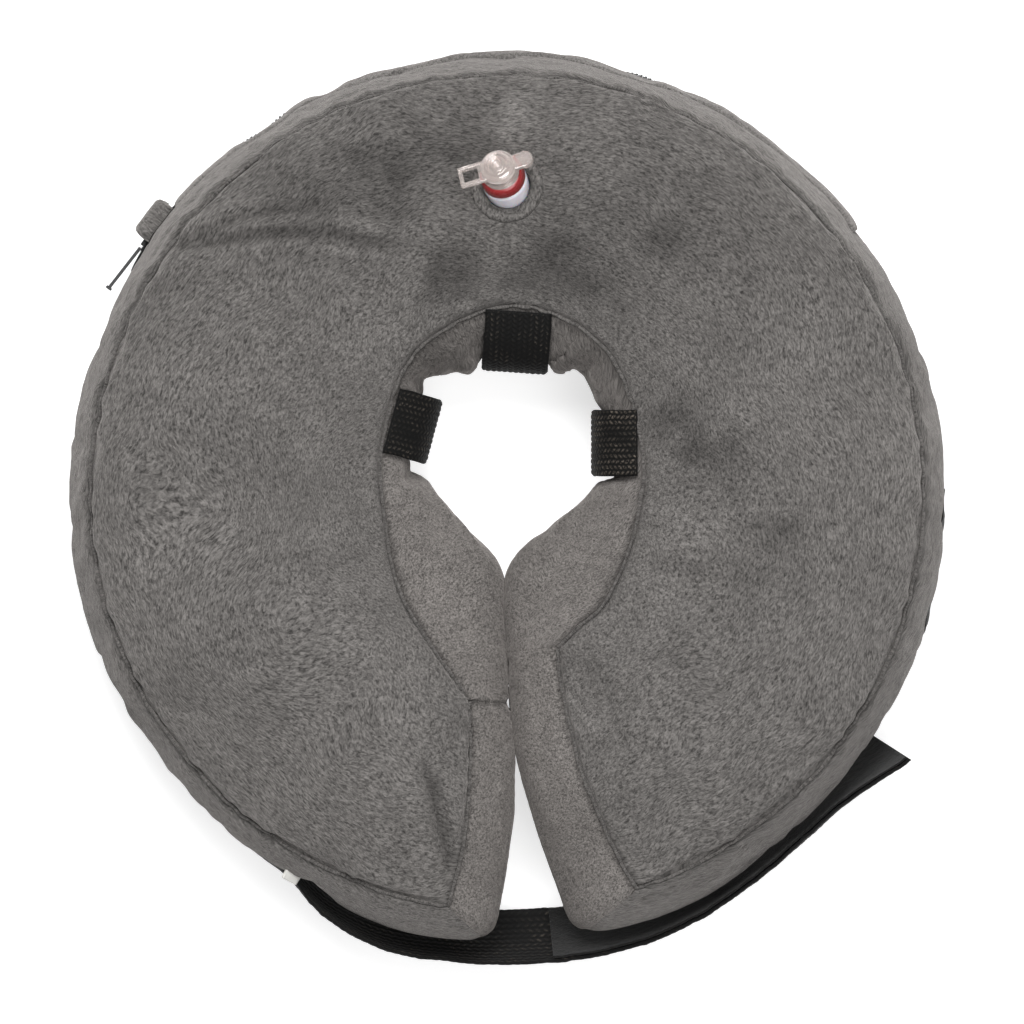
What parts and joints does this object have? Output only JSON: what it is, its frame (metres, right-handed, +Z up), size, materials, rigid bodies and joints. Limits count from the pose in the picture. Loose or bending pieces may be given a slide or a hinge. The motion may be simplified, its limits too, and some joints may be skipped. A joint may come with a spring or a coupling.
{
  "type": "inflatable pet recovery collar",
  "caption": "Soft ring collar: plush cover over an air bladder, with a slit, closing strap, collar loops, a cover zip and a winged twist valve.",
  "frame": {"origin": "under the middle of the whole object, on the surface that the back panel rests on", "axes": "+Z up through the neck opening towards the valve side, +Y towards the valve, -Y towards the slit"},
  "size_m": [0.331, 0.346, 0.0929],
  "materials": {
    "velour": "short pile velour, matte",
    "neck_velour": "short pile velour, matte",
    "webbing": "coarse woven webbing",
    "fastening_tape": "hook and loop tape",
    "zip_tape": "woven tape",
    "zip_plastic": "moulded, satin",
    "label": "satin ribbon",
    "film": "translucent film",
    "valve_white": "smooth soft plastic",
    "valve_red": "smooth",
    "valve_clear": "clear moulded plastic",
    "seal_rubber": "matte"
  },
  "bodies": {
    "collar": {"front_panel": "velour", "back_panel": "velour", "outer_gusset_front": "velour", "outer_gusset_rear": "velour", "neck_gusset": "neck_velour", "slit_gusset_left": "velour", "slit_gusset_right": "velour", "valve_patch": "velour", "zip_placket": "velour", "zip_garage": "velour", "care_label": "label", "zip_tape_upper": "zip_tape", "zip_tape_lower": "zip_tape", "zip_chain": "zip_plastic", "zip_stop_closed": "zip_plastic", "zip_stop_open": "zip_plastic", "collar_loop_top": "webbing", "collar_loop_left": "webbing", "collar_loop_right": "webbing", "strap_anchor": "webbing", "loop_strip": "fastening_tape", "bladder_front_film": "film", "bladder_back_film": "film", "bladder_outer_wall": "film", "bladder_neck_wall": "film", "bladder_end_left": "film", "bladder_end_right": "film", "valve_flange": "valve_white", "valve_body": "valve_white", "valve_seat_ring": "valve_red", "valve_neck": "valve_clear"},
    "valve_plunger": {"valve_stem": "valve_clear", "valve_seal": "seal_rubber"},
    "valve_cap": {"valve_cap": "valve_clear"},
    "zip_slider": {"zip_slider": "zip_plastic"},
    "zip_pull": {"zip_pull": "zip_plastic"},
    "strap_bridge": {"strap_bridge": "webbing"},
    "strap_middle": {"strap_middle": "webbing", "hook_tape_middle": "fastening_tape"},
    "strap_tail": {"strap_tail": "webbing", "hook_tape_tail": "fastening_tape"}
  },
  "joints": [
    {"name": "cap_lift", "type": "slide", "parent": "collar", "child": "valve_plunger", "axis": [-0.2131, 0.4183, 0.8829], "range_m": [0, 0.00161]},
    {"name": "cap_turn", "type": "hinge", "parent": "valve_plunger", "child": "valve_cap", "pos_m": [-0.00083, 0.12089, 0.0748], "axis": [-0.2131, 0.4183, 0.8829], "range_deg": [0, 180]},
    {"name": "zip_run", "type": "hinge", "parent": "collar", "child": "zip_slider", "pos_m": [-0.00083, 0.0045, 0.02942], "axis": [0, 0, 1], "range_deg": [-102, 0]},
    {"name": "zip_pull_flip", "type": "hinge", "parent": "zip_slider", "child": "zip_pull", "pos_m": [-0.13994, 0.09802, 0.02942], "axis": [0, 0, -1], "range_deg": [0, 115]},
    {"name": "strap_root", "type": "hinge", "parent": "collar", "child": "strap_bridge", "pos_m": [-0.0523, -0.16546, 0.04259], "axis": [0, 0, -1], "range_deg": [0, 95]},
    {"name": "strap_fold", "type": "hinge", "parent": "strap_bridge", "child": "strap_middle", "pos_m": [0.01512, -0.17233, 0.0401], "axis": [0, 0, -1], "range_deg": [0, 50]},
    {"name": "strap_peel", "type": "hinge", "parent": "strap_middle", "child": "strap_tail", "pos_m": [0.08822, -0.14531, 0.04425], "axis": [0, 0, -1], "range_deg": [0, 50]}
  ],
  "couplings": [
    {"joint": "cap_lift", "follows": "cap_turn", "m_per_rad": 0.0005093}
  ]
}
